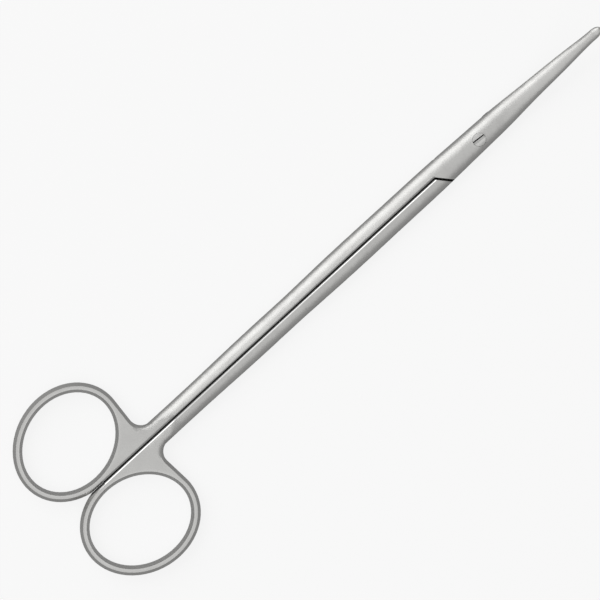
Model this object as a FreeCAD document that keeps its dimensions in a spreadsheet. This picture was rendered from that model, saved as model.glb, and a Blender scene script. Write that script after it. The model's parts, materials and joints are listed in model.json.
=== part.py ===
import FreeCAD, Part
import math
import os
import Sketcher

# Dissecting scissors with curved blades, closed, lying as they rest on a flat surface.
# Two forged halves cross in a half-lap joint and turn about one slotted pivot screw.
# While it is built, the model's origin is the pivot: X runs to the blade tips, Y to the
# finger ring of the front half, and Z up through the screw.

Vector = FreeCAD.Vector

SIZES = (
    # alias, value in millimetres or degrees, what it is
    ("ring_reach", 124.4, "pivot to the middle of a finger hole, along the shanks"),
    ("ring_offset", 12.97, "parting plane to the middle of a finger hole"),
    ("hole_length", 26.0, "finger hole, long axis"),
    ("hole_width", 21.36, "finger hole, short axis"),
    ("ring_tilt", 13.5, "long axis of a finger hole against the shanks, in degrees"),
    ("ring_bar", 2.35, "width of the bar round a finger hole"),
    ("bow_thick", 4.2, "thickness of the rings and their webs"),
    ("bow_bevel", 0.75, "width of the steep bevel along the edges of the rings and webs"),
    ("bow_bevel_depth", 1.1, "depth of the same bevel"),
    ("web_lean", 4.3, "front edge of a web against the square to the shanks, in degrees"),
    ("web_fillet", 3.3, "inner corner between web and shank"),
    ("web_root", 2.2, "front end of a finger hole to where the flat web starts to run out"),
    ("runout_lead", 13.0, "front end of a finger hole to where the last of the flat web fades"),
    ("web_flare", 4.1, "growth of the run-out's oval from the neck to the web"),
    ("web_sink", 0.12, "depth at which the run-out starts under the surface of the shank"),
    ("neck_lead", 10.2, "front end of a finger hole to the neck, the shanks' slimmest place"),
    ("neck_width", 6.66, "width of both shanks together at the neck"),
    ("neck_thick", 4.0, "thickness of the shanks at the neck"),
    ("swell_reach", 38.0, "pivot to the widest place of the shanks"),
    ("swell_width", 7.54, "width of both shanks together at their widest place"),
    ("joint_reach", 0.0, "pivot to the place where the joint's width is given"),
    ("joint_width", 6.62, "width of the joint at the screw"),
    ("joint_thick", 4.2, "thickness of the joint and of the shanks beside it"),
    ("shoulder_reach", 14.2, "pivot to the inner end of the shoulders"),
    ("shoulder_width", 7.34, "width of the joint at the shoulders"),
    ("shoulder_slant", 49.4, "shoulder line against the shanks, in degrees"),
    ("shoulder_slit", 0.55, "slit between a shoulder and the half against it, along the shanks"),
    ("shank_slit", 0.2, "slit between the two shanks"),
    ("lap_slit", 0.12, "slit between the two lapped faces"),
    ("root_reach", 5.4, "pivot to the root of the blades, where their bend starts"),
    ("root_width", 6.34, "width of the blades at the root"),
    ("root_thick", 4.0, "thickness of both blades together at the root"),
    ("tip_reach", 40.25, "pivot to the blade tips, seen from above"),
    ("tip_width", 2.64, "width of the blades where the tips start to round off"),
    ("tip_thick", 1.7, "thickness of both blades together at the same place"),
    ("tip_round", 2.5, "length of the rounded tips"),
    ("blade_sweep", 80.0, "radius of the blades' bend away from the resting surface"),
    ("bevel_inset", 0.12, "ground bevel of a cutting edge, measured along the lapped face"),
    ("bevel_angle", 77.0, "ground bevel against the lapped face, in degrees"),
    ("edge_break", 0.6, "width of the broken edge beside the parting plane"),
    ("edge_break_depth", 0.32, "depth of the same broken edge"),
    ("pivot_offset", 0.35, "screw off the middle line, to the side of the rear half"),
    ("screw_head", 3.28, "diameter of the screw head, ground flush"),
    ("screw_head_depth", 1.1, "depth of the screw head below the crest of the joint"),
    ("screw_shank", 2.2, "diameter of the screw's shank and thread"),
    ("screw_play", 0.04, "running play round the screw in the front half"),
    ("slot_width", 0.74, "width of the screwdriver slot"),
    ("slot_depth", 0.55, "depth of the screwdriver slot"),
    ("slot_turn", -4.8, "direction of the slot against the shanks, in degrees"),
)

SPACE = 40.0  # reach of the cutting shapes past the object

doc = FreeCAD.newDocument("DissectingScissors")
sheet = doc.addObject("Spreadsheet::Sheet", "Sizes")
for row, (alias, value, meaning) in enumerate(SIZES, start=1):
    sheet.set(f"A{row}", meaning)
    sheet.set(f"B{row}", str(value))
    sheet.setAlias(f"B{row}", alias)
doc.recompute()


# Placements and sections along the blades

# A section stands square to the blades' middle line: the bend starts at the root and
# follows one arc, so the place and slope of a section depend on its reach alone.
BEND_SLOPE = "asin(({reach} - Sizes.root_reach) / Sizes.blade_sweep)"
BEND_RISE = "Sizes.blade_sweep * (1 - cos({slope}))"
UPRIGHT = "create(<<rotation>>; create(<<vector>>; 1; 1; 1); 120)"
PITCHED = "create(<<rotation>>; create(<<vector>>; 0; 1; 0); -({slope}))"
TURNED = "create(<<rotation>>; create(<<vector>>; 1; 0; 0); {turn})"


def section_place(reach, slope="0", rise="0", turn=0):
    spot = f"create(<<vector>>; {reach}; 0; {rise})"
    rotation = f"{PITCHED.format(slope=slope)} * {TURNED.format(turn=turn)} * {UPRIGHT}"
    return f"create(<<placement>>; {spot}; {rotation})"


def blade_place(reach, turn=0):
    slope = BEND_SLOPE.format(reach=reach)
    return section_place(reach, slope, BEND_RISE.format(slope=slope), turn)


def between(first, last, share):
    return f"({first} + {share} * ({last} - {first}))"


TIP_SLOPE = "asin((Sizes.tip_reach - Sizes.root_reach) / Sizes.blade_sweep)"
TIP_START = f"(Sizes.tip_reach - Sizes.tip_round * cos({TIP_SLOPE}))"
BLADE_SHARES = (0.0, 0.25, 0.5, 0.75, 1.0)


def blade_reach(share):
    return between("Sizes.root_reach", TIP_START, share)


def blade_size(kind, share):
    return between(f"Sizes.root_{kind}", f"Sizes.tip_{kind}", share)


HOLE_END = "(Sizes.ring_reach - Sizes.hole_length / 2)"
NECK = f"({HOLE_END} - Sizes.neck_lead)"
FADED = f"({HOLE_END} - Sizes.runout_lead)"

# Sizes at the places where the shanks' section is given
NAMES = {
    "neck": {"reach": NECK, "width": "Sizes.neck_width", "thick": "Sizes.neck_thick"},
    "swell": {"reach": "Sizes.swell_reach", "width": "Sizes.swell_width",
              "thick": "Sizes.joint_thick"},
    "shoulder": {"reach": "Sizes.shoulder_reach", "width": "Sizes.shoulder_width",
                 "thick": "Sizes.joint_thick"},
    "joint": {"reach": "Sizes.joint_reach", "width": "Sizes.joint_width",
              "thick": "Sizes.joint_thick"},
}


def oval(name, width, thick, place):
    section = doc.addObject("Part::Ellipse", name)
    section.setExpression("MajorRadius", f"{width} / 2")
    section.setExpression("MinorRadius", f"{thick} / 2")
    section.setExpression("Placement", place)
    return section


def loft(name, sections):
    body = doc.addObject("Part::Loft", name)
    body.Sections = sections
    body.Solid = True
    return body


def cut(name, base, tool):
    remainder = doc.addObject("Part::Cut", name)
    remainder.Base = base
    remainder.Tool = tool
    return remainder


# Closed form: the smooth oval rod that both halves make together from web to tips

def shank_ovals(first, last, shares):
    """Ovals from one named place of the shanks towards the next, at even steps."""
    def along(kind):
        ends = [NAMES[place][kind] for place in (first, last)]
        return [between(*ends, share) for share in shares]
    rows = zip(along("reach"), along("width"), along("thick"))
    return [oval(f"oval_{first}_{number}", width, thick, section_place(f"-{reach}"))
            for number, (reach, width, thick) in enumerate(rows)]


def closed_rod():
    sections = [oval("oval_web", "Sizes.neck_width", "Sizes.neck_thick",
                     section_place(f"-{HOLE_END}"))]
    sections += shank_ovals("neck", "swell", (0, 0.25, 0.5, 0.75))
    sections += shank_ovals("swell", "shoulder", (0, 0.5))
    sections += shank_ovals("shoulder", "joint", (0, 0.5))
    sections += [oval("oval_joint", "Sizes.joint_width", "Sizes.joint_thick", section_place("0"))]
    for number, share in enumerate(BLADE_SHARES):
        sections.append(oval(f"oval_blade_{number}", blade_size("width", share),
                             blade_size("thick", share), blade_place(blade_reach(share))))
    rod = loft("rod", sections)
    point = doc.addObject("Part::Ellipsoid", "rounded_tips")
    point.setExpression("Radius1", "Sizes.tip_round")
    point.setExpression("Radius2", "Sizes.tip_width / 2")
    point.setExpression("Radius3", "Sizes.tip_thick / 2")
    point.Angle1 = 0
    point.setExpression("Placement", blade_place(TIP_START))
    closed = doc.addObject("Part::Fuse", "closed_form")
    closed.Base = rod
    closed.Tool = point
    return closed


# Shared space: which part of the closed form belongs to which half

def origin_plane(body, role):
    planes = [feature for feature in body.Origin.OriginFeatures if feature.Role == role]
    return planes[0]


def body_sketch(body, name, role):
    sketch = body.newObject("Sketcher::SketchObject", name)
    sketch.AttachmentSupport = (origin_plane(body, role), [""])
    sketch.MapMode = "FlatFace"
    return sketch


def bind(sketch, bound):
    """Add the sized constraints and tie each to its expression."""
    for constraint, expression in bound:
        index = sketch.addConstraint(constraint)
        sketch.setExpression(f"Constraints[{index}]", expression)


def lap_side(name, sign):
    """Solid above (sign 1) or below (sign -1) the lapped faces, a surface turned about
    the pivot, so that the blades keep their distance while the halves turn."""
    body = doc.addObject("PartDesign::Body", name)
    sketch = body_sketch(body, name + "_profile", "XZ_Plane")
    root = sheet.root_reach
    sweep = sheet.blade_sweep
    gap = sign * sheet.lap_slit / 2
    reach = sheet.tip_reach + sheet.tip_round
    angle = math.asin((reach - root) / sweep)
    rise = gap + sweep * (1 - math.cos(angle))
    far = sign * SPACE
    middle = Vector(root, gap + sweep, 0)
    circle = Part.Circle(middle, Vector(0, 0, 1), sweep)
    sketch.addGeometry([
        Part.LineSegment(Vector(0, gap, 0), Vector(root, gap, 0)),
        Part.ArcOfCircle(circle, -math.pi / 2, -math.pi / 2 + angle),
        Part.LineSegment(Vector(reach, rise, 0), Vector(reach, far, 0)),
        Part.LineSegment(Vector(reach, far, 0), Vector(0, far, 0)),
        Part.LineSegment(Vector(0, far, 0), Vector(0, gap, 0)),
    ])
    sketch.addConstraint([
        Sketcher.Constraint("Tangent", 0, 2, 1, 1),
        Sketcher.Constraint("Coincident", 1, 2, 2, 1),
        Sketcher.Constraint("Coincident", 2, 2, 3, 1),
        Sketcher.Constraint("Coincident", 3, 2, 4, 1),
        Sketcher.Constraint("Coincident", 4, 2, 0, 1),
        Sketcher.Constraint("Horizontal", 0),
        Sketcher.Constraint("Vertical", 2),
        Sketcher.Constraint("Horizontal", 3),
        Sketcher.Constraint("PointOnObject", 0, 1, -2),
        Sketcher.Constraint("PointOnObject", 3, 2, -2),
    ])
    bind(sketch, [
        (Sketcher.Constraint("DistanceX", 0, 1, 0, 2, root), "Sizes.root_reach"),
        (Sketcher.Constraint("Radius", 1, sweep), "Sizes.blade_sweep"),
        (Sketcher.Constraint("DistanceX", -1, 1, 2, 1, reach), "Sizes.tip_reach + Sizes.tip_round"),
        (Sketcher.Constraint("DistanceY", -1, 1, 0, 1, gap), f"{sign} * Sizes.lap_slit / 2"),
        (Sketcher.Constraint("DistanceY", -1, 1, 3, 1, far), str(far)),
    ])
    turned = body.newObject("PartDesign::Revolution", name + "_turned")
    turned.Profile = sketch
    turned.ReferenceAxis = (sketch, ["V_Axis"])
    turned.Angle = 360
    body.setExpression("Placement.Base.y", "-Sizes.pivot_offset")
    return body


def plan_solid(name, corners, bound, turned):
    """Upright solid on a closed outline; turned gives its counterpart for the rear half."""
    sketch = doc.addObject("Sketcher::SketchObject", name + "_outline")
    count = len(corners)
    for number in range(count):
        first = Vector(*corners[number], 0)
        last = Vector(*corners[(number + 1) % count], 0)
        line = sketch.addGeometry(Part.LineSegment(first, last))
        if first.x == last.x:
            sketch.addConstraint(Sketcher.Constraint("Vertical", line))
        if first.y == last.y:
            sketch.addConstraint(Sketcher.Constraint("Horizontal", line))
    for number in range(count):
        follower = (number + 1) % count
        sketch.addConstraint(Sketcher.Constraint("Coincident", number, 2, follower, 1))
    bind(sketch, bound)
    if turned:
        sketch.Placement = FreeCAD.Placement(Vector(), FreeCAD.Rotation(Vector(1, 0, 0), 180))
    solid = doc.addObject("Part::Extrusion", name)
    solid.Base = sketch
    solid.DirMode = "Normal"
    solid.LengthFwd = SPACE
    solid.LengthRev = SPACE
    solid.Solid = True
    return solid


def half_space(name, lap, turned):
    """The space that belongs to one half: its own side of the parting plane up to its
    shoulder, and beyond the shoulder its side of the lapped faces."""
    slant = math.radians(sheet.shoulder_slant)
    edge = sheet.shank_slit / 2
    handle = -(sheet.ring_reach + SPACE)
    shoulder = -sheet.shoulder_reach
    own = shoulder - sheet.shoulder_slit
    behind = own - sheet.shoulder_slit
    front = sheet.tip_reach + sheet.tip_round
    along = (SPACE - edge) / math.tan(slant)
    across = (SPACE + edge) / math.tan(slant)
    distance_x = "DistanceX"
    distance_y = "DistanceY"
    side = plan_solid(
        name + "_side",
        [(handle, edge), (own, edge), (own + along, SPACE), (handle, SPACE)],
        [
            (Sketcher.Constraint(distance_x, 0, 1, -1, 1, -handle),
             f"Sizes.ring_reach + {SPACE}"),
            (Sketcher.Constraint(distance_x, 0, 2, -1, 1, -own),
             "Sizes.shoulder_reach + Sizes.shoulder_slit"),
            (Sketcher.Constraint(distance_y, -1, 1, 0, 1, edge), "Sizes.shank_slit / 2"),
            (Sketcher.Constraint(distance_y, -1, 1, 2, 1, SPACE), str(SPACE)),
            (Sketcher.Constraint("Angle", 1, slant), "Sizes.shoulder_slant"),
        ], turned)
    over = plan_solid(
        name + "_over",
        [(shoulder, edge), (shoulder + across, -SPACE), (front + across, -SPACE),
         (front + across, SPACE), (behind, SPACE), (behind, edge)],
        [
            (Sketcher.Constraint(distance_x, 0, 1, -1, 1, -shoulder), "Sizes.shoulder_reach"),
            (Sketcher.Constraint(distance_y, -1, 1, 0, 1, edge), "Sizes.shank_slit / 2"),
            (Sketcher.Constraint(distance_y, 1, 1, -1, 1, SPACE), str(SPACE)),
            (Sketcher.Constraint(distance_x, -1, 1, 2, 1, front + across),
             f"Sizes.tip_reach + Sizes.tip_round + {SPACE}"),
            (Sketcher.Constraint(distance_y, -1, 1, 3, 1, SPACE), str(SPACE)),
            (Sketcher.Constraint(distance_x, 4, 1, -1, 1, -behind),
             "Sizes.shoulder_reach + 2 * Sizes.shoulder_slit"),
            (Sketcher.Constraint("Angle", 0, -slant), "-Sizes.shoulder_slant"),
        ], turned)
    lapped = doc.addObject("Part::Common", name + "_lapped")
    lapped.Base = over
    lapped.Tool = lap
    space = doc.addObject("Part::Fuse", name)
    space.Base = side
    space.Tool = lapped
    return space


# Bows: finger rings with the webs that join them to the shanks

def bow_sketch(body, name):
    """Plan of the front half's ring and web. The web's front edge leaves the ring's outer
    oval as a tangent. Its inside, which the parting plane trims, reaches past that plane."""
    sketch = body_sketch(body, name + "_outline", "XY_Plane")
    tilt = math.radians(sheet.ring_tilt)
    lean = math.radians(sheet.web_lean)
    outer_long = sheet.hole_length / 2 + sheet.ring_bar
    outer_short = sheet.hole_width / 2 + sheet.ring_bar
    middle = Vector(-sheet.ring_reach, sheet.ring_offset, 0)
    long_way = Vector(math.cos(tilt), math.sin(tilt), 0)
    short_way = Vector(-math.sin(tilt), math.cos(tilt), 0)
    outer = Part.Ellipse(middle + long_way * outer_long, middle + short_way * outer_short, middle)
    ring = sketch.addGeometry(Part.ArcOfEllipse(outer, -lean - tilt, math.radians(255)))
    sketch.exposeInternalGeometry(ring)
    hole_end = middle + long_way * sheet.hole_length / 2
    hole_side = middle + short_way * sheet.hole_width / 2
    hole = sketch.addGeometry(Part.Ellipse(hole_end, hole_side, middle))
    sketch.exposeInternalGeometry(hole)
    start = sketch.getPoint(ring, 1)
    finish = sketch.getPoint(ring, 2)
    inner = sheet.neck_width / 2 - sheet.web_sink
    corner = Vector(start.x, inner, 0)
    centre = corner + Vector(sheet.web_fillet, sheet.web_fillet, 0)
    circle = Part.Circle(centre, Vector(0, 0, 1), sheet.web_fillet)
    faded = sheet.ring_reach - sheet.hole_length / 2 - sheet.runout_lead
    tip = -faded - sheet.web_sink
    front = sketch.addGeometry(Part.LineSegment(start, corner + Vector(0, sheet.web_fillet, 0)))
    round_corner = sketch.addGeometry(Part.ArcOfCircle(circle, math.pi, 1.5 * math.pi))
    shank = sketch.addGeometry(Part.LineSegment(Vector(centre.x, inner, 0), Vector(tip, inner, 0)))
    past = -sheet.neck_width / 3
    end = sketch.addGeometry(Part.LineSegment(Vector(tip, inner, 0), Vector(tip, past, 0)))
    brow = finish + Vector(sheet.bow_bevel, 0, 0)
    foot = Vector(brow.x, past, 0)
    inside = sketch.addGeometry(Part.LineSegment(Vector(tip, past, 0), foot))
    step = sketch.addGeometry(Part.LineSegment(foot, brow))
    edge = sketch.addGeometry(Part.LineSegment(brow, finish))
    sketch.addConstraint([
        Sketcher.Constraint("Tangent", ring, 1, front, 1),
        Sketcher.Constraint("Tangent", front, 2, round_corner, 1),
        Sketcher.Constraint("Tangent", round_corner, 2, shank, 1),
        Sketcher.Constraint("Coincident", shank, 2, end, 1),
        Sketcher.Constraint("Coincident", end, 2, inside, 1),
        Sketcher.Constraint("Coincident", inside, 2, step, 1),
        Sketcher.Constraint("Coincident", step, 2, edge, 1),
        Sketcher.Constraint("Tangent", edge, 2, ring, 2),
        Sketcher.Constraint("Coincident", ring, 3, hole, 3),
        Sketcher.Constraint("Horizontal", shank),
        Sketcher.Constraint("Vertical", end),
        Sketcher.Constraint("Horizontal", inside),
        Sketcher.Constraint("Vertical", step),
        Sketcher.Constraint("Horizontal", edge),
        Sketcher.Constraint("Parallel", ring + 1, hole + 1),
        Sketcher.Constraint("DistanceX", ring, 3, -1, 1, sheet.ring_reach),
        Sketcher.Constraint("DistanceY", -1, 1, ring, 3, sheet.ring_offset),
        Sketcher.Constraint("Distance", ring + 1, 2 * outer_long),
        Sketcher.Constraint("Distance", ring + 2, 2 * outer_short),
        Sketcher.Constraint("Distance", hole + 1, sheet.hole_length),
        Sketcher.Constraint("Distance", hole + 2, sheet.hole_width),
        Sketcher.Constraint("Angle", -1, 1, ring + 1, 1, tilt),
        Sketcher.Constraint("Angle", -1, 1, front, 1, -math.pi / 2 - lean),
        Sketcher.Constraint("Radius", round_corner, sheet.web_fillet),
        Sketcher.Constraint("DistanceY", -1, 1, shank, 2, inner),
        Sketcher.Constraint("DistanceX", end, 1, -1, 1, -tip),
        Sketcher.Constraint("DistanceY", inside, 1, -1, 1, -past),
        Sketcher.Constraint("Distance", edge, sheet.bow_bevel),
    ])
    bound = (
        "Sizes.ring_reach", "Sizes.ring_offset",
        "Sizes.hole_length + 2 * Sizes.ring_bar", "Sizes.hole_width + 2 * Sizes.ring_bar",
        "Sizes.hole_length", "Sizes.hole_width", "Sizes.ring_tilt", "-90 - Sizes.web_lean",
        "Sizes.web_fillet", "Sizes.neck_width / 2 - Sizes.web_sink",
        f"{FADED} + Sizes.web_sink", "Sizes.neck_width / 3", "Sizes.bow_bevel",
    )
    first = sketch.ConstraintCount - len(bound)
    for number, expression in enumerate(bound):
        sketch.setExpression(f"Constraints[{first + number}]", expression)
    return sketch


def edges_where(feature, test):
    edges = enumerate(feature.Shape.Edges, start=1)
    return [f"Edge{number}" for number, edge in edges if test(edge.BoundBox)]


def runout():
    """What is ground off round the end of the flat webs: all but a loft of ovals that grow
    out of the round shank, so that the flats fade into it."""
    length = "(Sizes.runout_lead - Sizes.web_root)"
    sections = []
    for number, share in enumerate((0.0, 0.25, 0.5, 0.75, 1.0)):
        growth = f"(Sizes.web_flare + 2 * Sizes.web_sink) * {share * share} - 2 * Sizes.web_sink"
        sections.append(oval(f"oval_runout_{number}", f"(Sizes.neck_width + {growth})",
                             f"(Sizes.neck_thick + {growth})",
                             section_place(f"-({FADED} + {share} * {length})")))
    block = doc.addObject("Part::Box", "runout_block")
    block.setExpression("Length", length)
    block.setExpression("Width", "2 * Sizes.neck_width")
    block.setExpression("Height", "2 * Sizes.bow_thick")
    block.setExpression("Placement.Base.x", f"-({FADED} + {length})")
    block.setExpression("Placement.Base.y", "-Sizes.neck_width")
    block.setExpression("Placement.Base.z", "-Sizes.bow_thick")
    return cut("runout", block, loft("runout_ovals", sections))


def bow(name, turned, ground_off):
    body = doc.addObject("PartDesign::Body", name)
    plate = body.newObject("PartDesign::Pad", name + "_plate")
    plate.Profile = bow_sketch(body, name)
    plate.Midplane = True
    plate.setExpression("Length", "Sizes.bow_thick")
    doc.recompute()
    skin = sheet.bow_thick / 2

    def outer_edge(box):
        on_skin = box.ZLength < 0.001 and abs(abs(box.ZMax) - skin) < 0.001
        straight = box.XLength < 0.001 or box.YMax < sheet.shank_slit
        return on_skin and not straight

    broken = body.newObject("PartDesign::Chamfer", name + "_bevel")
    broken.Base = (plate, edges_where(plate, outer_edge))
    broken.ChamferType = "Two distances"
    broken.FlipDirection = True
    broken.setExpression("Size", "Sizes.bow_bevel")
    broken.setExpression("Size2", "Sizes.bow_bevel_depth")
    doc.recompute()
    if turned:
        body.Placement = FreeCAD.Placement(Vector(), FreeCAD.Rotation(Vector(1, 0, 0), 180))
    return cut(name + "_ground", body, ground_off)


# Cutting edges, screw and the two forged halves

def bevel_section(name, share, inset, turned):
    """Section of the material ground off beside a cutting edge."""
    sketch = doc.addObject("Sketcher::SketchObject", name)
    width = blade_size("width", share)
    below = sheet.root_thick
    lean = math.radians(sheet.bevel_angle)
    foot = sheet.root_width / 2 + below / math.tan(lean)
    head = foot - 2 * below / math.tan(lean)
    outside = foot + sheet.root_width
    sketch.addGeometry([
        Part.LineSegment(Vector(foot, -below, 0), Vector(head, below, 0)),
        Part.LineSegment(Vector(head, below, 0), Vector(outside, below, 0)),
        Part.LineSegment(Vector(outside, below, 0), Vector(outside, -below, 0)),
        Part.LineSegment(Vector(outside, -below, 0), Vector(foot, -below, 0)),
    ])
    sketch.addConstraint([
        Sketcher.Constraint("Coincident", 0, 2, 1, 1),
        Sketcher.Constraint("Coincident", 1, 2, 2, 1),
        Sketcher.Constraint("Coincident", 2, 2, 3, 1),
        Sketcher.Constraint("Coincident", 3, 2, 0, 1),
        Sketcher.Constraint("Horizontal", 1),
        Sketcher.Constraint("Vertical", 2),
        Sketcher.Constraint("Horizontal", 3),
    ])
    reach_out = "Sizes.root_thick / tan(Sizes.bevel_angle * 1 deg)"
    bind(sketch, [
        (Sketcher.Constraint("Angle", 0, math.pi - lean), "180 - Sizes.bevel_angle"),
        (Sketcher.Constraint("DistanceY", 0, 1, -1, 1, below), "Sizes.root_thick"),
        (Sketcher.Constraint("DistanceY", -1, 1, 1, 1, below), "Sizes.root_thick"),
        (Sketcher.Constraint("DistanceX", 3, 2, 3, 1, sheet.root_width), "Sizes.root_width"),
        (Sketcher.Constraint("DistanceX", -1, 1, 0, 1, foot),
         f"{width} / 2 - ({inset}) + {reach_out}"),
    ])
    sketch.setExpression("Placement", blade_place(blade_reach(share), 180 if turned else 0))
    return sketch


def bevel(name, turned):
    """The bevel rises out of the flank past the root and then keeps its inset."""
    sections = [bevel_section(f"{name}_0", 0, "-Sizes.bevel_inset", turned)]
    for number, share in enumerate((0.25, 0.5, 0.75, 1.0, 1.25), start=1):
        sections.append(bevel_section(f"{name}_{number}", share, "Sizes.bevel_inset", turned))
    return loft(name, sections)


def upright_cylinder(name, radius, foot, length):
    """Round bar about the pivot axis."""
    bar = doc.addObject("Part::Cylinder", name)
    bar.setExpression("Radius", radius)
    bar.setExpression("Height", length)
    bar.setExpression("Placement.Base.y", "-Sizes.pivot_offset")
    bar.setExpression("Placement.Base.z", foot)
    return bar


def fused(name, shapes):
    union = doc.addObject("Part::MultiFuse", name)
    union.Shapes = shapes
    return union


def common(name, base, tool):
    overlap = doc.addObject("Part::Common", name)
    overlap.Base = base
    overlap.Tool = tool
    return overlap


def parting_groove(name, turned):
    """Shallow groove along the crest that breaks the inner edges of both shanks. Its
    section reaches as far above the crest as below it, so that nothing stays on top."""
    sketch = doc.addObject("Sketcher::SketchObject", name + "_section")
    wide = 2 * sheet.edge_break
    top = sheet.joint_thick / 2 + sheet.edge_break_depth
    bottom = top - 2 * sheet.edge_break_depth
    sketch.addGeometry([
        Part.LineSegment(Vector(-wide, top, 0), Vector(0, bottom, 0)),
        Part.LineSegment(Vector(0, bottom, 0), Vector(wide, top, 0)),
        Part.LineSegment(Vector(wide, top, 0), Vector(-wide, top, 0)),
    ])
    sketch.addConstraint([
        Sketcher.Constraint("Coincident", 0, 2, 1, 1),
        Sketcher.Constraint("Coincident", 1, 2, 2, 1),
        Sketcher.Constraint("Coincident", 2, 2, 0, 1),
        Sketcher.Constraint("PointOnObject", 0, 2, -2),
        Sketcher.Constraint("Symmetric", 0, 1, 1, 2, -2),
    ])
    bind(sketch, [
        (Sketcher.Constraint("DistanceX", 2, 2, 2, 1, 2 * wide), "4 * Sizes.edge_break"),
        (Sketcher.Constraint("DistanceY", -1, 1, 0, 1, top),
         "Sizes.joint_thick / 2 + Sizes.edge_break_depth"),
        (Sketcher.Constraint("DistanceY", 0, 2, 0, 1, top - bottom),
         "2 * Sizes.edge_break_depth"),
    ])
    turn = 180 if turned else 0
    sketch.setExpression("Placement", section_place("-Sizes.shoulder_reach", turn=turn))
    groove = doc.addObject("Part::Extrusion", name)
    groove.Base = sketch
    groove.DirMode = "Normal"
    groove.setExpression("LengthRev", "Sizes.ring_reach + Sizes.ring_bar - Sizes.shoulder_reach")
    groove.Solid = True
    return groove


HEAD_SEAT = "(Sizes.joint_thick / 2 - Sizes.screw_head_depth)"


def forged_half(name, closed, own_bow, space, grooves, tools):
    """One forging: its share of the closed form with broken inner edges, less its screw
    hole and ground bevel."""
    blank = fused(name + "_blank", [closed, own_bow])
    eased = cut(name + "_eased", blank, grooves)
    shaped = common(name + "_shaped", eased, space)
    return cut(name, shaped, fused(name + "_tools", tools))


def pivot_screw(closed):
    """Flat-headed screw, ground off flush with both faces of the joint."""
    head = upright_cylinder("screw_head_bar", "Sizes.screw_head / 2", HEAD_SEAT,
                            "Sizes.joint_thick")
    shank = upright_cylinder("screw_shank_bar", "Sizes.screw_shank / 2",
                             "-Sizes.joint_thick", "2 * Sizes.joint_thick")
    ground = common("screw_ground", fused("screw_bars", [head, shank]), closed)
    slot = doc.addObject("Part::Box", "screw_slot")
    slot.setExpression("Length", "2 * Sizes.screw_head")
    slot.setExpression("Width", "Sizes.slot_width")
    slot.setExpression("Height", "Sizes.joint_thick")
    upright = "create(<<rotation>>; create(<<vector>>; 0; 0; 1); {turn})"
    pivot = "create(<<vector>>; 0; -Sizes.pivot_offset; Sizes.joint_thick / 2 - Sizes.slot_depth)"
    corner = "create(<<vector>>; -Sizes.screw_head; -Sizes.slot_width / 2; 0)"
    direction = f"create(<<placement>>; {pivot}; {upright.format(turn='Sizes.slot_turn')})"
    centring = f"create(<<placement>>; {corner}; {upright.format(turn=0)})"
    slot.setExpression("Placement", f"{direction} * {centring}")
    return cut("pivot_screw", ground, slot)


def build():
    closed = closed_rod()
    above = lap_side("above_lap", 1)
    below = lap_side("below_lap", -1)
    doc.recompute()
    grooves = fused("grooves", [parting_groove("top_groove", False),
                                parting_groove("bottom_groove", True)])
    bore_length = "2 * Sizes.joint_thick"
    seat = upright_cylinder("head_seat", "Sizes.screw_head / 2 + Sizes.screw_play",
                            f"{HEAD_SEAT} - Sizes.screw_play", "Sizes.joint_thick")
    bore = upright_cylinder("front_bore", "Sizes.screw_shank / 2 + Sizes.screw_play",
                            "-Sizes.joint_thick", bore_length)
    thread = upright_cylinder("rear_bore", "Sizes.screw_shank / 2",
                              "-Sizes.joint_thick", bore_length)
    ends = runout()
    front = forged_half("front_half", closed, bow("front_bow", False, ends),
                        half_space("front_space", above, False), grooves,
                        [bevel("front_bevel", False), seat, bore])
    rear = forged_half("rear_half", closed, bow("rear_bow", True, ends),
                       half_space("rear_space", below, True), grooves,
                       [bevel("rear_bevel", True), thread])
    return front, rear, pivot_screw(closed)


# The origin moves from the pivot to the middle of the object's underside.
RING_END = ("sqrt(((Sizes.hole_length / 2 + Sizes.ring_bar) * cos(Sizes.ring_tilt * 1 deg))^2"
            " + ((Sizes.hole_width / 2 + Sizes.ring_bar) * sin(Sizes.ring_tilt * 1 deg))^2)")

pieces = build()
for piece in pieces:
    piece.Label = piece.Name
    piece.setExpression("Placement.Base.x",
                        f"(Sizes.ring_reach + {RING_END} - Sizes.tip_reach) / 2")
    piece.setExpression("Placement.Base.z", "Sizes.bow_thick / 2")
doc.recompute()

for item in doc.Objects:
    if "Invalid" in item.State or "Error" in item.State:
        raise RuntimeError(f"{item.Label} did not build")
for piece in pieces:
    if piece.Shape.isNull() or not piece.Shape.isValid() or len(piece.Shape.Solids) != 1:
        raise RuntimeError(f"{piece.Label} is not one sound solid")

os.makedirs("parts", exist_ok=True)
for piece in pieces:
    piece.Shape.exportStep(f"parts/{piece.Label}.step")
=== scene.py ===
import json
import math

import bpy
from mathutils import Matrix, Vector

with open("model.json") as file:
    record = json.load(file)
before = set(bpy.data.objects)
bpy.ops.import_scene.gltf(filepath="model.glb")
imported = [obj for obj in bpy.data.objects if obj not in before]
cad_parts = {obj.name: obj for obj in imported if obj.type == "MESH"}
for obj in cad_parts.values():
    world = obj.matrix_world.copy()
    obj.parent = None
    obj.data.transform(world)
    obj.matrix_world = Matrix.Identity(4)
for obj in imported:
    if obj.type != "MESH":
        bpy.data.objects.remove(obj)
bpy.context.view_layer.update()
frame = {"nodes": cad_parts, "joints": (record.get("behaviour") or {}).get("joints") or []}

bl_info = {
    "name": "Dissecting Scissors",
    "version": (1, 0, 0),
    "blender": (4, 5, 0),
    "location": "View3D > Sidebar > Scissors",
    "description": "Dresses a pair of curved dissecting scissors in satin steel and sets the studio",
    "category": "Object",
}

PIVOT = Vector(frame["joints"][0]["pos_m"])

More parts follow.
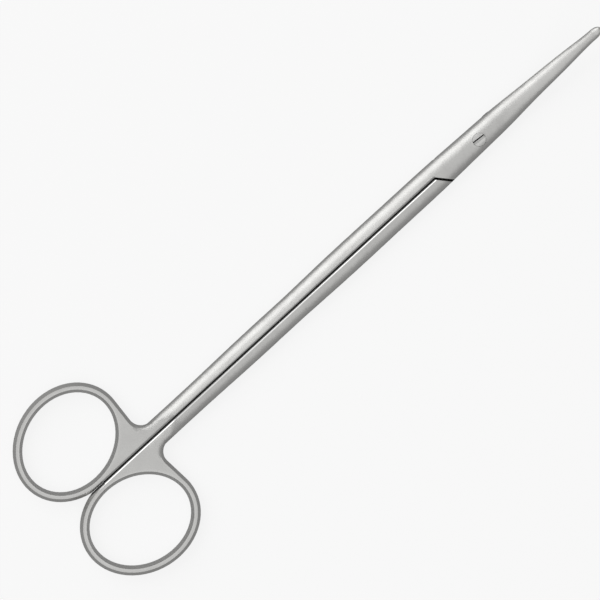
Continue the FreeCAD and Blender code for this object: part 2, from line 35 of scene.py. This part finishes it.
# Places on the steel, in metres: the parting plane is y = 0, the resting surface is z = 0.
# A side is 1 for the front half, whose ring is at positive y, and -1 for the rear half.
SHOULDER_CORNER = PIVOT.x - 0.014475  # where the slit between the shanks meets the shoulder
SHOULDER_SLANT = math.radians(49.4)
SHOULDER_SLIT = 0.00055
SHOULDER_WIDTH = 0.005  # from the parting plane past the outer end of a shoulder
LAP_LEVEL = 0.00006  # half the slit between the lapped faces
GROUND_HALF = 0.00012  # from the parting plane past the ground inner faces of the shanks
GROOVE_LEVEL = 0.0013  # from the pivot's middle up or down to where the slit looks dark
MARGIN_LEVEL = 0.0009  # from the pivot's middle up or down to where its margin begins
RING_MIDDLE = (PIVOT.x - 0.1244, 0.01297)
RING_TILT = math.radians(13.5)
HOLE_RADII = (0.0130, 0.01068)
HEAD_RADIUS = 0.00167
HEAD_LEVEL = 0.0018  # from the pivot's middle up to the rubbed face of the screw head
SLOT_TURN = math.radians(-4.8)
SLOT_HALF = 0.00037
SLOT_FLOOR = 0.0014  # from the pivot's middle up to the floor of the slot
RUNOUT_MIDDLE = PIVOT.x - 0.1035
RUNOUT_HALF = 0.0065
RUNOUT_BLEND = 0.0016
CLOUD_SIZE = 0.0042
HANDLED = 0.17  # how far handling has brightened the rings and the screw head


# Shader maths

class Socket:
    """A node output that adds Math nodes when it takes part in an expression."""

    def __init__(self, shader, output):
        self.shader = shader
        self.output = output

    def _math(self, operation, *values):
        return self.shader.node("ShaderNodeMath", {"operation": operation}, dict(enumerate(values)))

    def __add__(self, other):
        return self._math("ADD", self, other)

    def __sub__(self, other):
        return self._math("SUBTRACT", self, other)

    def __mul__(self, other):
        return self._math("MULTIPLY", self, other)

    def __rsub__(self, other):
        return self._math("SUBTRACT", other, self)

    __radd__ = __add__
    __rmul__ = __mul__

    def __abs__(self):
        return self._math("ABSOLUTE", self)

    def or_more(self, other):
        """The larger of the two"""
        return self._math("MAXIMUM", self, other)

    def root(self):
        return self._math("SQRT", self)

    def rise(self, low, high):
        """0 below low and 1 above high, with a smooth step between them."""
        return self.shader.node("ShaderNodeMapRange", {"interpolation_type": "SMOOTHSTEP"},
                                {0: self, 1: low, 2: high})

    def fall(self, low, high):
        """1 below low and 0 above high"""
        return 1 - self.rise(low, high)


class Shader:
    """The node tree of one material or world, emptied and written anew."""

    def __init__(self, tree):
        self.tree = tree
        tree.nodes.clear()

    def node(self, kind, settings, inputs, output=0):
        """Add a node, set it, link or fill its inputs, and give one of its outputs."""
        made = self.tree.nodes.new(kind)
        for name, value in settings.items():
            setattr(made, name, value)
        for key, value in inputs.items():
            socket = made.inputs[key]
            if isinstance(value, Socket):
                self.tree.links.new(value.output, socket)
            else:
                socket.default_value = value
        return Socket(self, made.outputs[output]) if made.outputs else made

    def place(self):
        """Object coordinates, and their three parts"""
        where = self.node("ShaderNodeTexCoord", {}, {}, "Object")
        return where, *(self.node("ShaderNodeSeparateXYZ", {}, {0: where}, part) for part in "XYZ")

    def noise(self, where, seed, size, detail):
        return self.node("ShaderNodeTexNoise", {"noise_dimensions": "4D"},
                         {"Vector": where, "W": seed, "Scale": 1 / size, "Detail": detail})

    def blend(self, share, first, second):
        return self.node("ShaderNodeMix", {"data_type": "RGBA"},
                         {0: share, 6: first, 7: second}, 2)


def material(name):
    """A new material and the shader that writes its node tree"""
    made = bpy.data.materials.new(name)
    made.use_nodes = True
    return made, Shader(made.node_tree)


# Sizes and colours

class SteelLook(bpy.types.PropertyGroup):
    colour: bpy.props.FloatVectorProperty(
        name="Steel", description="Base colour of the satin steel",
        subtype="COLOR", size=3, min=0, max=1, default=(0.63, 0.63, 0.615))
    cloudy: bpy.props.FloatVectorProperty(
        name="Cloudy steel", description="Base colour where the satin finish is duller",
        subtype="COLOR", size=3, min=0, max=1, default=(0.575, 0.57, 0.56))
    # Brightened by handling at the rings and the screw head; along the slit's edge the same colour
    # is a painted highlight.
    rubbed_and_glint: bpy.props.FloatVectorProperty(
        name="Rubbed steel", description="Base colour where the steel is rubbed bright",
        subtype="COLOR", size=3, min=0, max=1, default=(0.93, 0.93, 0.92))
    # Faces left from grinding between the shanks and on the screw slot's floor: their own duller
    # tone, toned darker as painted shade.
    ground_and_shade: bpy.props.FloatVectorProperty(
        name="Ground steel", description="Base colour of the ground faces between the shanks",
        subtype="COLOR", size=3, min=0, max=1, default=(0.30, 0.30, 0.29))
    # Painted shade: the near-black colour laid in the slits, along the slot and round the screw
    # head.
    painted_shade: bpy.props.FloatVectorProperty(
        name="Residue", description="Colour of what has settled in the slits",
        subtype="COLOR", size=3, min=0, max=1, default=(0.025, 0.025, 0.025))
    roughness: bpy.props.FloatProperty(
        name="Roughness", description="Roughness of the satin finish", min=0, max=1, default=0.42)
    grain: bpy.props.FloatProperty(
        name="Grain", description="Size of the fine satin grain", subtype="DISTANCE",
        unit="LENGTH", default=0.00022)
    polish: bpy.props.FloatProperty(
        name="Polish", description="How much smoother handling has made the rings",
        min=0, max=0.3, default=0.1)


class StageSizes(bpy.types.PropertyGroup):
    turn: bpy.props.FloatProperty(
        name="Turn", description="Angle of the scissors in the picture, tips up to the right",
        subtype="ANGLE", default=math.radians(42.61))
    span: bpy.props.FloatProperty(
        name="Span", description="Width that the picture shows at the object",
        subtype="DISTANCE", unit="LENGTH", default=0.1473)
    distance: bpy.props.FloatProperty(
        name="Camera distance", description="Camera above the object",
        subtype="DISTANCE", unit="LENGTH", default=3.0)
    lean: bpy.props.FloatProperty(
        name="Camera lean", description="Camera off the vertical, towards the front ring's side",
        subtype="ANGLE", default=math.radians(3.2))
    aim_back: bpy.props.FloatProperty(
        name="Aim", description="Middle of the picture behind the pivot, along the shanks",
        subtype="DISTANCE", unit="LENGTH", default=0.059)
    aim_side: bpy.props.FloatProperty(
        name="Aim aside", description="Middle of the picture beside the parting line",
        subtype="DISTANCE", unit="LENGTH", default=0.0003)
    floor: bpy.props.FloatProperty(
        name="Floor", description="Width of the floor", subtype="DISTANCE", unit="LENGTH",
        default=3.0)


# Finishes

def behind_shoulder(x):
    """1 on the rings and shanks, 0 on the joint and blades"""
    return x.fall(SHOULDER_CORNER, SHOULDER_CORNER + 0.0003)


def parting_slit_shade(side, x, y, z):
    """Painted shade in the slit between the shanks: the deep part of the groove up to the shoulder,
    with a soft margin on the front half and a sharp one on the rear half. The middle of the
    inner faces, which shows when the pair is open, stays clear of both."""
    level = abs(z - PIVOT.z).rise(GROOVE_LEVEL, GROOVE_LEVEL + 0.0003)
    deep = abs(y).fall(GROUND_HALF + 0.00004, 2 * GROUND_HALF) * level
    if side > 0:
        margin = abs(y).fall(0.0003, 0.0009) * 0.32
    else:
        margin = abs(y).fall(0.00033, 0.00045) * 0.8
    edge = abs(z - PIVOT.z).rise(MARGIN_LEVEL, MARGIN_LEVEL + 0.0003)
    return deep.or_more(margin * edge) * behind_shoulder(x)


def edge_glint(side, x, y):
    """Painted highlight: the bright line along the slit, on the rear half's broken edge more than on
    the front's.
    """
    share = 0.15 if side > 0 else 0.75
    line = abs(y).rise(0.0003, 0.00045) * abs(y).fall(0.0006, 0.00075)
    return line * behind_shoulder(x) * share


def parting_faces(x, y):
    """The duller faces, left from grinding, with which the shanks meet; their darker tone is also
    painted shade in the slit between them.
    """
    return abs(y).fall(GROUND_HALF, GROUND_HALF + 0.00002) * behind_shoulder(x)


def shoulder_slit_shade(side, x, y, z):
    """Painted shade in the slanted slit at the end of a shoulder: a band on each side of its middle
    line, but not on the flush surface that crosses over it on the other side of the parting plane."""
    across = (x - SHOULDER_CORNER) * math.sin(SHOULDER_SLANT) - abs(y) * math.cos(SHOULDER_SLANT)
    half = SHOULDER_SLIT / 2
    flush = (y * side).rise(0, 0.0001) * ((z - PIVOT.z) * side).rise(LAP_LEVEL, 2 * LAP_LEVEL)
    outside = abs(y).fall(SHOULDER_WIDTH, SHOULDER_WIDTH + 0.001)
    return abs(across).fall(half, half + 0.00006) * outside * (1 - flush)


def across_slot(x, y):
    """How far a place lies from the slot's middle line"""
    return (y - PIVOT.y) * math.cos(SLOT_TURN) - (x - PIVOT.x) * math.sin(SLOT_TURN)


def screw_rim_shade(x, y, z):
    """Painted shade in the hair line round the screw head, darker on the rear half's side and
    darkest where the slot runs out of the head."""
    out = x - PIVOT.x
    aside = y - PIVOT.y
    distance = (out * out + aside * aside).root()
    top = (z - PIVOT.z).rise(SLOT_FLOOR - 0.0001, SLOT_FLOOR + 0.0001)
    rim = abs(distance - HEAD_RADIUS).fall(0.00003, 0.00007) * top
    across = across_slot(x, y)
    slot_end = abs(across - 0.0002).fall(0.0002, 0.00028) * out.rise(0, 0.0005)
    return rim * (0.45 + 0.4 * across.fall(-0.0003, 0.0001) + 0.5 * slot_end)


def runout_zone(x, y):
    """Where the flat webs run out into the shanks and the change between them is smooth."""
    along = abs(x - RUNOUT_MIDDLE).fall(RUNOUT_HALF, RUNOUT_HALF + 0.001)
    return along * abs(y).rise(0.0006, 0.001) * abs(y).fall(0.0045, 0.0055)


def ring_wear(side, x, y):
    """Where fingers rub: 1 at the rim of the hole, falling to 0 at the ring's outer edge."""
    out = x - RING_MIDDLE[0]
    aside = y * side - RING_MIDDLE[1]
    along = out * math.cos(RING_TILT) + aside * math.sin(RING_TILT)
    across = aside * math.cos(RING_TILT) - out * math.sin(RING_TILT)
    share_along = along * (1 / HOLE_RADII[0])
    share_across = across * (1 / HOLE_RADII[1])
    reach = share_along * share_along + share_across * share_across
    return reach.fall(1.0, 1.35) * HANDLED


def satin_steel(name, look, seed, shade_mask, dull_and_shaded, wear_and_glint):
    """Satin steel: a fine grain and slow clouds in colour, roughness and normal. The masks:
    shade_mask for painted shade in the slits, along the slot and round the screw head,
    dull_and_shaded for faces left from grinding, toned darker as painted shade, and
    wear_and_glint for what handling has smoothed and for a painted highlight along the slit."""
    made, shader = material(name)
    where, x, y, z = shader.place()
    grain = shader.noise(where, seed, look.grain, 2.0)
    cloud = shader.noise(where, seed + 5, CLOUD_SIZE, 3.0)
    shade_mask = shade_mask(x, y, z)
    wear_and_glint = wear_and_glint(x, y, z)
    satin = shader.blend((cloud * 0.7 + grain * 0.6).rise(0.35, 0.95),
                         (*look.colour, 1), (*look.cloudy, 1))
    # Brightened by handling at the rings and screw head, and a painted highlight along the slit's
    # edge.
    rubbed_and_glint = shader.blend(wear_and_glint, satin, (*look.rubbed_and_glint, 1))
    # Faces left from grinding, toned darker as painted shade in the slit and the slot.
    steel = shader.blend(dull_and_shaded(x, y, z), rubbed_and_glint, (*look.ground_and_shade, 1))
    # Painted shade: the slits, one side of the slot and the screw head's rim turn near-black here.
    colour = shader.blend(shade_mask, steel, (*look.painted_shade, 1))
    rough = (look.roughness - 0.05 + cloud * 0.07 + grain * 0.05
             - wear_and_glint.rise(0, HANDLED) * look.polish + shade_mask * 0.25)
    soft = shader.node("ShaderNodeBevel", {"samples": 8}, {"Radius": RUNOUT_BLEND})
    plain = shader.node("ShaderNodeNewGeometry", {}, {}, "Normal")
    normal = shader.node("ShaderNodeMix", {"data_type": "VECTOR"},
                         {0: runout_zone(x, y), 4: plain, 5: soft}, 1)
    bump = shader.node("ShaderNodeBump", {}, {"Height": grain, "Strength": 0.05,
                                              "Distance": look.grain / 5, "Normal": normal})
    surface = shader.node("ShaderNodeBsdfPrincipled", {}, {
        "Base Color": colour, "Metallic": 1.0, "Roughness": rough, "Normal": bump})
    shader.node("ShaderNodeOutputMaterial", {}, {"Surface": surface})
    return made


def finish(node, made):
    """Give a node its one material"""
    slots = frame["nodes"][node].data.materials
    slots.clear()
    slots.append(made)


class SCISSORS_OT_finish_halves(bpy.types.Operator):
    """Give both forged halves their satin steel, with painted shade in the slits, a painted
    highlight along the slit's edge and wear at the rings
    """
    bl_idname = "scissors.finish_halves"
    bl_label = "Finish the forged halves"

    def execute(self, context):
        look = context.scene.scissors_steel
        for node, side in (("front_half", 1), ("rear_half", -1)):
            def shade_mask(x, y, z):
                slits = parting_slit_shade(side, x, y, z).or_more(shoulder_slit_shade(side, x, y, z))
                return slits.or_more(screw_rim_shade(x, y, z) * 0.5)

            def dull_and_shaded(x, y, z):
                return parting_faces(x, y)

            def wear_and_glint(x, y, z):
                return ring_wear(side, x, y).or_more(edge_glint(side, x, y))

            finish(node, satin_steel(f"satin_{node}", look, 3.0 + side, shade_mask, dull_and_shaded, wear_and_glint))
        return {"FINISHED"}


class SCISSORS_OT_finish_screw(bpy.types.Operator):
    """Give the pivot screw its satin steel, with a painted shadow along one side of the slot"""
    bl_idname = "scissors.finish_screw"
    bl_label = "Finish the pivot screw"

    def execute(self, context):
        def shade_mask(x, y, z):
            # Painted shadow: a near-black line along the slot's wall on the front half's side.
            slot_shadow = abs(across_slot(x, y) - SLOT_HALF + 0.00008).fall(0.00014, 0.0002)
            return slot_shadow * (z - PIVOT.z).rise(0, 0.0002)

        def dull_and_shaded(x, y, z):
            # The slot's floor and below: duller from grinding, and darker as painted shade in the
            # slot.
            return (z - PIVOT.z).fall(SLOT_FLOOR, SLOT_FLOOR + 0.0001)

        def wear_and_glint(x, y, z):
            return (z - PIVOT.z).rise(HEAD_LEVEL, HEAD_LEVEL + 0.0002) * HANDLED

        look = context.scene.scissors_steel
        finish("pivot_screw", satin_steel("satin_screw", look, 9.0, shade_mask, dull_and_shaded, wear_and_glint))
        return {"FINISHED"}


# Stage

def add_area_light(name, place, aim, size, energy):
    """A rectangular lamp at a place, turned towards what it aims at"""
    data = bpy.data.lights.new(name, "AREA")
    data.shape = "RECTANGLE"
    data.size, data.size_y = size
    data.energy = energy
    lamp = bpy.data.objects.new(name, data)
    bpy.context.collection.objects.link(lamp)
    lamp.location = place
    lamp.rotation_euler = (Vector(aim) - Vector(place)).to_track_quat("-Z", "Y").to_euler()


class SCISSORS_OT_set_stage(bpy.types.Operator):
    """Lay the pale floor and set the lights, the white background and the camera"""
    bl_idname = "scissors.set_stage"
    bl_label = "Set the stage"

    def execute(self, context):
        sizes = context.scene.scissors_stage
        self.lay_floor(sizes)
        self.set_world(context.scene)
        self.set_lights(sizes)
        self.set_camera(context.scene, sizes)
        context.scene.view_settings.view_transform = "Standard"
        return {"FINISHED"}

    def lay_floor(self, sizes):
        half = sizes.floor / 2
        mesh = bpy.data.meshes.new("floor")
        corners = [(-half, -half, 0), (half, -half, 0), (half, half, 0), (-half, half, 0)]
        mesh.from_pydata(corners, [], [(0, 1, 2, 3)])
        floor = bpy.data.objects.new("floor", mesh)
        bpy.context.collection.objects.link(floor)
        made, shader = material("pale_floor")
        seen = shader.node("ShaderNodeLightPath", {}, {}, "Is Camera Ray")
        paper = shader.blend(seen, (0.45, 0.45, 0.45, 1), (0.9, 0.9, 0.9, 1))
        matt = shader.node("ShaderNodeBsdfDiffuse", {}, {"Color": paper})
        white = shader.node("ShaderNodeEmission", {}, {"Color": (1, 1, 1, 1), "Strength": 1.0})
        share = self.white_share(shader, 0.84, 0.05)
        mixed = shader.node("ShaderNodeMixShader", {}, {0: share, 1: matt, 2: white})
        shader.node("ShaderNodeOutputMaterial", {}, {"Surface": mixed})
        mesh.materials.append(made)

    def white_share(self, shader, seen, mirrored):
        """How much of the white a ray meets: seen straight on or through glass, or mirrored."""
        camera, glossy, through = (shader.node("ShaderNodeLightPath", {}, {}, kind)
                                   for kind in ("Is Camera Ray", "Is Glossy Ray",
                                                "Is Transmission Ray"))
        return (camera.or_more(through) * seen).or_more(glossy * mirrored)

    def set_world(self, scene):
        world = bpy.data.worlds.new("studio")
        world.use_nodes = True
        scene.world = world
        shader = Shader(world.node_tree)
        dim = shader.node("ShaderNodeBackground", {}, {"Color": (1, 1, 1, 1), "Strength": 0.25})
        white = shader.node("ShaderNodeBackground", {}, {"Color": (1, 1, 1, 1), "Strength": 1.0})
        share = self.white_share(shader, 1.0, 0.15)
        mixed = shader.node("ShaderNodeMixShader", {}, {0: share, 1: dim, 2: white})
        shader.node("ShaderNodeOutputWorld", {}, {"Surface": mixed})

    def set_lights(self, sizes):
        aim = (PIVOT.x - sizes.aim_back, 0, 0)
        add_area_light("key", (aim[0], 1.95, 1.64), aim, (3.2, 2.0), 30.0)
        add_area_light("top", (aim[0] - 1.5, -0.4, 4.0), aim, (9.0, 4.6), 78.0)

    def set_camera(self, scene, sizes):
        """The picture's right is the shanks' direction turned down by the picture's turn."""
        right = Vector((math.cos(sizes.turn), -math.sin(sizes.turn), 0))
        back = Vector((0, math.sin(sizes.lean), math.cos(sizes.lean)))
        up = back.cross(right).normalized()
        right = up.cross(back)
        data = bpy.data.cameras.new("camera")
        data.sensor_width = 36.0
        data.lens = data.sensor_width * sizes.distance / sizes.span
        camera = bpy.data.objects.new("camera", data)
        bpy.context.collection.objects.link(camera)
        aim = Vector((PIVOT.x - sizes.aim_back, sizes.aim_side, PIVOT.z))
        turned = Matrix((right, up, back)).transposed().to_4x4()
        camera.matrix_world = Matrix.Translation(aim + back * sizes.distance) @ turned
        scene.camera = camera


class SCISSORS_PT_panel(bpy.types.Panel):
    """Lists what the scissors are made of"""
    bl_idname = "SCISSORS_PT_panel"
    bl_label = "Dissecting Scissors"
    bl_space_type = "VIEW_3D"
    bl_region_type = "UI"
    bl_category = "Scissors"

    def draw(self, context):
        for operator in OPERATORS:
            self.layout.operator(operator.bl_idname)
        for group in (context.scene.scissors_steel, context.scene.scissors_stage):
            for name in group.__annotations__:
                self.layout.prop(group, name)


OPERATORS = (SCISSORS_OT_finish_halves, SCISSORS_OT_finish_screw, SCISSORS_OT_set_stage)
CLASSES = (SteelLook, StageSizes, *OPERATORS, SCISSORS_PT_panel)


def register():
    for kind in CLASSES:
        bpy.utils.register_class(kind)
    bpy.types.Scene.scissors_steel = bpy.props.PointerProperty(type=SteelLook)
    bpy.types.Scene.scissors_stage = bpy.props.PointerProperty(type=StageSizes)


def unregister():
    del bpy.types.Scene.scissors_stage
    del bpy.types.Scene.scissors_steel
    for kind in reversed(CLASSES):
        bpy.utils.unregister_class(kind)


def main():
    register()
    bpy.ops.scissors.finish_halves()
    bpy.ops.scissors.finish_screw()
    bpy.ops.scissors.set_stage()


if __name__ == "__main__":
    main()
